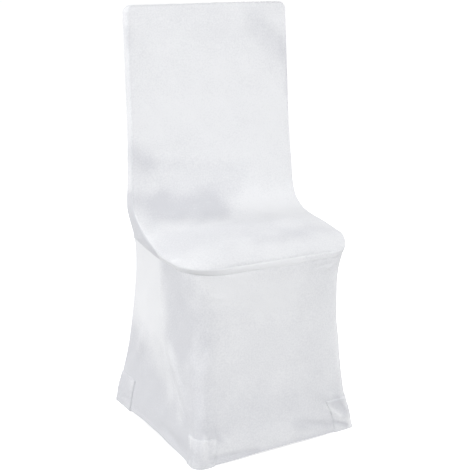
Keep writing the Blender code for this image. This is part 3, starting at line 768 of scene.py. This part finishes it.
def mesh_object(name, points, faces, material, shade=0):
    """A piece of the cover, with the painted light and shade of its cloth at each point, in its tone."""
    mesh = new_mesh(name, points + np.array([0, DEPTH_SHIFT, 0]), faces, material)
    mesh.shade_smooth()
    tone = mesh.attributes.new("tone", "FLOAT", "POINT")
    tone.data.foreach_set("value", softly_limited(painted_shading_of(points, name) + shade).astype(np.float32))
    return add_object(name, mesh)


def cloth_object(node, outer, inner, shade, material, ring=False):
    """A closed sheet of cloth in its node's place, with map coordinates in metres along its threads."""
    rows, columns = outer.shape[:2]
    points = np.concatenate([outer.reshape(-1, 3), inner.reshape(-1, 3)])
    faces = sheet_faces(rows, columns, ring).tolist()
    piece = mesh_object("cover_" + node, points, faces, material, np.tile(shade.ravel(), 2))
    piece.data.set_sharp_from_angle(angle=SHARP_EDGE)
    flat = np.stack([lengths_across(outer), lengths_down(outer)], axis=-1).reshape(-1, 2)
    corners = np.zeros(len(piece.data.loops), int)
    piece.data.loops.foreach_get("vertex_index", corners)
    cloth_map = piece.data.uv_layers.new(name="cloth")
    cloth_map.uv.foreach_set("vector", np.tile(flat, (2, 1))[corners].astype(np.float32).ravel())
    size, area = FLAT_SIZES[node]
    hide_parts(node)
    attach(piece, "root")
    area or size[0] * size[1]


def open_seam(grid, last_row, sides):
    """Moves a cloth's sewn edges back a little from the piece on the other side."""
    lines = [(grid[0], grid[1])]
    if last_row:
        lines.append((grid[-1], grid[-2]))
    if sides:
        lines += [(grid[:, 0], grid[:, 1]), (grid[:, -1], grid[:, -2])]
    for edge, beside in lines:
        edge += unit(beside - edge) * OPEN_SEAM / 2


def panel_object(node, grid, edges, finish, material, last_row=False, sides=True, ring=False):
    """Makes a panel with rounded edges, relief and shade, and gives its outer face."""
    points, out = grid, ways_out(grid, ring)
    for from_edge, other in edges:
        points, out = round_edge(points, from_edge, out, other)
    relief, shade = finish
    outer = points + out * relief[..., None]
    inner = outer - out * CLOTH
    for face in (outer, inner):
        open_seam(face, last_row, sides)
    cloth_object(node, outer, inner, shade, material, ring)
    return outer


# Materials

def set_inputs(material, node, inputs):
    """Sets a node's inputs to plain values, or wires them from the outputs of other nodes."""
    for name, value in inputs.items():
        if isinstance(value, bpy.types.NodeSocket):
            material.node_tree.links.new(value, node.inputs[name])
        else:
            node.inputs[name].default_value = value


def new_material(name, inputs):
    material = bpy.data.materials.new(name)
    material.use_nodes = True
    shader = material.node_tree.nodes["Principled BSDF"]
    set_inputs(material, shader, inputs)
    return material, shader


def add_node(material, kind, output, inputs=None, **settings):
    """Adds a node with its settings and inputs, and gives one of its outputs."""
    node = material.node_tree.nodes.new("ShaderNode" + kind)
    for name, value in settings.items():
        setattr(node, name, value)
    set_inputs(material, node, inputs or {})
    return node.outputs[output]


def cloth_material():
    """White stretch knit: fine ribs, a crinkled surface, soft sheen and a faintly cloudy tone, mixed with the
    painted light and shade of the tone attribute.
    """
    material, shader = new_material("cover_cloth", CLOTH_GLOSS)
    place = add_node(material, "TexCoord", "Object")
    tone = add_node(material, "Attribute", "Fac", attribute_name="tone")
    for noise, share in ((CLOUDS, CLOUDS_SHARE), (SPECKLE, SPECKLE_SHARE)):
        spots = add_node(material, "TexNoise", "Fac", {"Vector": place, **noise})
        tone = add_node(material, "Math", "Value", {0: spots, 1: share, 2: tone}, operation="MULTIPLY_ADD")
    tone = add_node(material, "Math", "Value", {0: tone, 1: CLOUDS_MIDDLE},
                    operation="SUBTRACT", use_clamp=True)
    # painted shade and light: the tone mixes the white cloth towards its shaded colour
    colour = add_node(material, "Mix", "Result",
                      {"Factor": tone, "A": SHADED_CLOTH, "B": WHITE_STRETCH_CLOTH}, data_type="RGBA")
    cloth_map = add_node(material, "UVMap", "UV", uv_map="cloth")
    heights = []
    for direction, pitch in RIB_PITCHES.items():
        ribs = {"Vector": cloth_map, "Scale": WAVE_TEXTURE_PITCH / pitch, **RIBS}
        heights.append((add_node(material, "TexWave", "Fac", ribs, bands_direction=direction), RIB_HEIGHT))
    heights.append((add_node(material, "TexNoise", "Fac", {"Vector": place, **CRINKLE}), CRINKLE_HEIGHT))
    normal = {}
    for height, distance in heights:
        bump = {"Height": height, "Distance": distance, "Strength": RELIEF_STRENGTH, **normal}
        normal = {"Normal": add_node(material, "Bump", "Normal", bump)}
    set_inputs(material, shader, {"Base Color": colour, **normal})
    return material


def thread_material():
    material, shader = new_material("sewing_thread", THREAD_FINISH)
    place = add_node(material, "TexCoord", "Object")
    twist = add_node(material, "TexWave", "Fac", {"Vector": place, "Scale": TWIST_SCALE},
                     bands_direction="DIAGONAL")
    bump = add_node(material, "Bump", "Normal", {"Height": twist, "Distance": TWIST_HEIGHT})
    set_inputs(material, shader, {"Normal": bump})
    return material


# The panels

def make_front_panel(plain, band_out, material):
    edge = beside_rim(plain, edge_distance(plain), round_the_rim(plain), band_out)
    finish = sewn_edge(plain, edge[0], RIM_SEAM)
    finish[0] += cloth_relief(plain, edge[0], PANEL_CREASES)
    panel_object("front_panel", plain, [edge], finish, material, last_row=True)


def make_side_band(band, front, material):
    """The strip round the front panel, rounded over to that panel and to the rear panel."""
    from_rim, from_seam = lengths_down(band), over_hem(band)
    rear = band[-1, :, 1] > REAR_LINE
    edges = [(from_rim, round_the_rim(ways_out(front))), (np.where(rear, from_seam, np.inf), BACKWARDS)]
    finish = np.where(rear, sewn_edge(band, from_seam, RIM_SEAM), sewn_edge(band, from_seam, SEAT_SEAM))
    finish += sewn_edge(band, from_rim, RIM_SEAM)
    on_seat = smooth_step((BULGE_TOP - band[-1, :, 2]) / BULGE_FADE)
    finish[0] += BAND_BULGE * on_seat * np.sin(math.pi * from_rim / from_rim[-1])
    finish[0] += cloth_relief(band, np.minimum(from_rim, from_seam))
    return panel_object("side_band", band, edges, finish, material, last_row=True, sides=False, ring=True)


def make_rear_panel(plain, rim, rim_out, material):
    edge = beside_rim(plain, edge_distance(plain, bottom=False), rim, rim_out)
    finish = sewn_edge(plain, edge[0], RIM_SEAM) + turned_hem(plain)
    finish[0] += cloth_relief(plain, edge[0], REAR_CREASES)
    above = len(plain) - len(DROPS)
    for place in pocket_places():
        if place.rear:
            finish[0] -= POCKET_BED * pocket_bed(plain, above + place.first, place.rear)
    return panel_object("rear_panel", plain, [edge], finish, material)


def make_skirt(plain, material):
    """The skirt starts just under the seat seam and is rounded over to the rear panel."""
    from_rear, down = side_distance(plain), lengths_down(plain)
    finish = sewn_edge(plain, down, SEAT_SEAM) + sewn_edge(plain, from_rear, REAR_EDGE) + turned_hem(plain)
    finish[0] += cloth_relief(plain, np.minimum(from_rear, down), SKIRT_CREASES)
    for place in pocket_places():
        finish[0] -= POCKET_BED * pocket_bed(plain, place.first, place.skirt)
    return panel_object("skirt", plain, [(from_rear, BACKWARDS)], finish, material)


# The foot pockets

Place = namedtuple("Place", "name first skirt rear")


def pocket_places():
    """Each foot pocket's first row, and its first and last columns on the skirt and on the rear panel."""
    front_start = len(SIDE_SHARES) + len(QUARTER)
    last = 2 * front_start + len(FRONT_SHARES) - 1
    for pocket in POCKETS:
        first, side = nearest(DROPS, pocket.top), nearest(SIDE_SHARES, pocket.side)
        front, across = front_start + nearest(FRONT_SHARES, pocket.other), nearest(REAR_SHARES, pocket.other)
        if "front" in pocket.name:
            columns = (side, front) if "left" in pocket.name else (front, last - side)
            yield Place(pocket.name, first, columns, None)
        elif "left" in pocket.name:
            yield Place(pocket.name, first, (0, side), (across, len(REAR_SHARES) - 1))
        else:
            yield Place(pocket.name, first, (last - side, last), (0, across))


def pocket_bed(grid, first, columns):
    """1 where a foot pocket lies on a cloth, falling to 0 just outside its edges."""
    down, across = lengths_down(grid), lengths_across(grid)
    start, end = columns
    above = down[first] - down
    beside = np.maximum(across[:, start:start + 1] - across, across - across[:, end:end + 1])
    return 1 - smooth_step(np.maximum(above, beside) / BED_EDGE)


def pocket_base(place, skirt, rear):
    """The cloth under a foot pocket's wall."""
    start, end = place.skirt
    on_skirt = skirt[place.first:, start:end + 1]
    if place.rear is None:
        return on_skirt
    start, end = place.rear
    on_rear = rear[-len(DROPS):][place.first:, start:end + 1]
    if place.skirt[0] == 0:
        return np.hstack([on_rear[:, :-1], on_skirt])
    return np.hstack([on_skirt, on_rear[:, 1:]])


def mitred(lines, distance):
    """Rows of points moved outwards so that each run between them moves by the distance."""
    runs = np.diff(lines, axis=1)
    out = unit(points_from(runs[..., 1], -runs[..., 0], 0))
    before = np.concatenate([out[:, :1], out], axis=1)
    after = np.concatenate([out, out[:, -1:]], axis=1)
    return lines + (before + after) * distance[..., None] / (1 + (before * after).sum(-1, keepdims=True))


def make_foot_pocket(place, base, material):
    """A cup sewn round one foot: a wall over the skirt's corner and a sole under the foot."""
    from_edge = edge_distance(base, bottom=False)
    inside_edge = smooth_step(from_edge / POCKET_EDGE)
    lift = POCKET_WAVES.height * abs(wave_field(base, POCKET_WAVES)) * inside_edge
    waves = ways_out(base) * lift[..., None]
    gap = OPEN_SEAM + (SEAM_GAP - OPEN_SEAM) * inside_edge
    thick = CLOTH * (THIN_EDGE + (1 - THIN_EDGE) * inside_edge)
    wall, inside = mitred(base, gap + thick) + waves, mitred(base, gap) + waves
    heel_x, heel_y = (min(base[-1, 0, axis], base[-1, -1, axis], key=abs) for axis in (0, 1))
    share = np.linspace(0, SOLE_SHARE, SOLE_STEPS + 1)[:, None, None]
    faces = []
    for face, height in ((wall, 0), (inside, CLOTH)):
        foot = points_from(face[-1, :, 0], face[-1, :, 1], height)
        faces.append(np.vstack([face, foot + (np.array([heel_x, heel_y, height]) - foot) * share]))
    depth = FRONT_POCKET_SHADE if place.rear is None else REAR_POCKET_SHADE
    shade = np.vstack([-depth * np.exp(-(from_edge / SHADE_REACH) ** 2),
                       np.zeros((SOLE_STEPS + 1, base.shape[1]))])
    cloth_object(place.name, *faces, shade, material)
    return wall


# The stitches

def stitch_shape(stitch):
    """One stitch as a small spindle along its first axis, its ends sunk into the cloth."""
    half, turns = stitch.length / 2, STITCH_TURNS
    angle = np.arange(turns) * 2 * math.pi / turns
    near_ring, far_ring = (points_from(place, stitch.radius * np.cos(angle), stitch.radius * np.sin(angle))
                           for place in (-half / 2, half / 2))
    points = np.vstack([(-half, 0, -stitch.radius), near_ring, far_ring, (half, 0, -stitch.radius)])
    tips, sides = [], []
    for turn in range(turns):
        near, after = 1 + turn, 1 + (turn + 1) % turns
        tips += [(0, after, near), (1 + 2 * turns, turns + near, turns + after)]
        sides.append((near, after, turns + after, turns + near))
    return points, (np.array(tips), np.array(sides))


def stitch_row(line, line_out, stitch):
    """Places of the stitches along a line, each with its direction, its breadth and the way out."""
    length = lengths_along(line)
    places = np.arange(stitch.pitch, length[-1] - stitch.pitch, stitch.pitch)

    def read(rows, shift=0):
        return np.stack([np.interp(places + shift, length, column) for column in rows.T], axis=-1)

    centre, out = read(line), read(line_out)
    along = unit(read(line, stitch.pitch / 2) - centre)
    out = unit(out - along * (out * along).sum(-1, keepdims=True))
    return np.stack([centre, along, np.cross(out, along), out])


def stitches_object(name, rows, stitch, material):
    """All the stitches of one kind of seam, as one mesh."""
    shape, kinds = stitch_shape(stitch)
    centre, along, breadth, out = np.concatenate(rows, axis=1)[:, :, None, :]
    points = centre + along * shape[:, :1] + breadth * shape[:, 1:2] + out * shape[:, 2:]
    starts = (np.arange(len(points)) * len(shape))[:, None, None]
    faces = [face for kind in kinds for face in (starts + kind).reshape(-1, kind.shape[1]).tolist()]
    return mesh_object(name, points.reshape(-1, 3), faces, material)


def seam_lines(band, skirt):
    """Both edges of the side band and the skirt's two rear edges, with the ways out of the cloth there."""
    out = ways_out(band, ring=True)[0]
    for row in (band[0], band[-1]):
        yield np.vstack([row, row[:1]]), np.vstack([out, out[:1]])
    for line in (skirt[:, 0], skirt[:, -1]):
        yield line, np.broadcast_to(unit(np.array([np.sign(line[0, 0]), 1.0, 0.0])), line.shape)


def hem_lines(skirt, rear):
    """Lines at set heights over the hem's edge, with the ways out of the cloth there."""
    for grid in (skirt, rear):
        for height in HEM_ROWS:
            row, column = np.argmin(abs(over_hem(grid) - height), axis=0), np.arange(grid.shape[1])
            yield grid[row, column], ways_out(grid)[row, column]


def pocket_lines(walls):
    """Lines just inside each pocket's edge: up one side, along its top and down the other."""
    for wall in walls:
        out = ways_out(wall)
        first = nearest(lengths_down(wall)[:, wall.shape[1] // 2], POCKET_ROW)
        across = lengths_across(wall)[wall.shape[0] // 2]
        start, end = nearest(across, POCKET_ROW), nearest(across[-1] - across, POCKET_ROW)
        for line in ((slice(first, None), start), (first, slice(start, end + 1)), (slice(first, None), end)):
            yield wall[line], out[line]


def add_stitches(band, skirt, rear, walls):
    thread = thread_material()
    for name, lines, stitch in (("cover_seam_stitches", seam_lines(band, skirt), SEAM_STITCH),
                                ("cover_hem_stitches", hem_lines(skirt, rear), HEM_STITCH),
                                ("cover_pocket_stitches", pocket_lines(walls), SEAM_STITCH)):
        rows = [stitch_row(*line, stitch) for line in lines]
        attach(stitches_object(name, rows, stitch, thread), "root")


# The studio

def stage_piece(name, points, faces, finish):
    """A piece of the studio, which gives the cover no light of its own."""
    material = new_material(name + "_white", {**STAGE_FINISH, **finish})[0]
    piece = add_object(name, new_mesh(name, points, faces, material))
    piece.visible_diffuse = False
    piece.visible_glossy = False
    return piece


def make_studio():
    """A plain floor inside a plain white dome."""
    corners = np.array([(-1, -1, 0), (1, -1, 0), (1, 1, 0), (-1, 1, 0)]) * STUDIO_REACH
    stage_piece("floor", corners, [(0, 1, 2, 3)], FLOOR_FINISH)
    turns = np.linspace(0, 2 * math.pi, DOME_SIDES, endpoint=False)
    climbs = np.linspace(DOME_START, math.pi / 2, DOME_RINGS)[:, None]
    flat = np.cos(climbs)
    dome = STUDIO_REACH * points_from(flat * np.cos(turns), flat * np.sin(turns), np.sin(climbs))
    faces = grid_faces(grid_numbers(DOME_RINGS, DOME_SIDES, ring=True)).tolist()
    stage_piece("dome", dome.reshape(-1, 3), faces, DOME_FINISH).visible_shadow = False


def make_lights():
    for lamp in LAMPS:
        light = bpy.data.lights.new(lamp.name, "AREA")
        light.size = lamp.size
        light.energy = lamp.power
        carrier = add_object(lamp.name, light)
        carrier.location = lamp.place
        aim = Vector(lamp.aim) - Vector(lamp.place)
        carrier.rotation_euler = aim.to_track_quat("-Z", "Y").to_euler()
    world = bpy.data.worlds.new("studio")
    world.use_nodes = True
    set_inputs(world, world.node_tree.nodes["Background"], WORLD)
    bpy.context.scene.world = world


def make_camera():
    camera = add_object("camera", bpy.data.cameras.new("camera"))
    camera.data.lens = LENS
    camera.location = CAMERA_PLACE
    camera.rotation_euler = (math.pi / 2 - CAMERA_PITCH, 0, CAMERA_YAW)
    bpy.context.scene.camera = camera


def make_cover():
    cloth = cloth_material()
    front, rear, skirt = front_panel_grid(), rear_panel_grid(), skirt_grid()
    band = side_band_grid(front)
    band_out, skirt_out = ways_out(band, ring=True), ways_out(skirt)
    make_front_panel(front, band_out[0], cloth)
    finished_band = make_side_band(band, front, cloth)
    behind = band[-1, :, 1] > REAR_LINE
    rim, rim_out = (np.concatenate([strip[-1][behind], cloth_rows[:, 0], cloth_rows[:, -1]])
                    for strip, cloth_rows in ((band, skirt), (band_out, skirt_out)))
    rear = make_rear_panel(rear, rim, rim_out, cloth)
    skirt = make_skirt(skirt, cloth)
    walls = [make_foot_pocket(place, pocket_base(place, skirt, rear), cloth) for place in pocket_places()]
    add_stitches(finished_band, skirt, rear, walls)


make_cover()
make_studio()
make_lights()
make_camera()
bpy.context.scene.view_settings.view_transform = "Standard"
